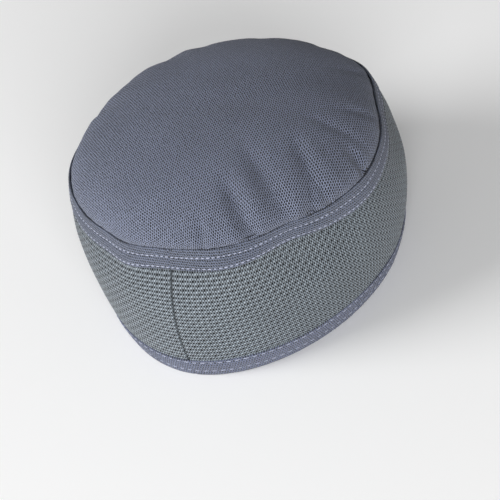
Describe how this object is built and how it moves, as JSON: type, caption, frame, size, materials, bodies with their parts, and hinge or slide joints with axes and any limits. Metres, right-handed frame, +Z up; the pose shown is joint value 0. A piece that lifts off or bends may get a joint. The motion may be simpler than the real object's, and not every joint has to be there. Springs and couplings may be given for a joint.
{
  "type": "kufi",
  "caption": "Soft round brimless cloth cap with a domed canvas crown, a pinhole mesh side band and stitched canvas strips.",
  "frame": {"origin": "middle of the head opening, on the plane that the lower edge rests on", "axes": "+Z up to the crown, +Y towards the back of the head, -X towards the wearer's right"},
  "size_m": [0.1824, 0.204, 0.1063],
  "materials": {
    "canvas": "dyed woven canvas, matte, grey with a blue cast",
    "strip_canvas": "the same canvas cut as a strip, matte, topstitched with pale thread",
    "mesh": "knitted pinhole mesh, matte, grey with a green cast",
    "binding_canvas": "the same canvas folded as a binding, matte, topstitched with pale thread"
  },
  "bodies": {
    "root": {"crown": "canvas", "upper_strip": "strip_canvas", "mesh_band": "mesh", "hem_binding": "binding_canvas"}
  },
  "joints": []
}
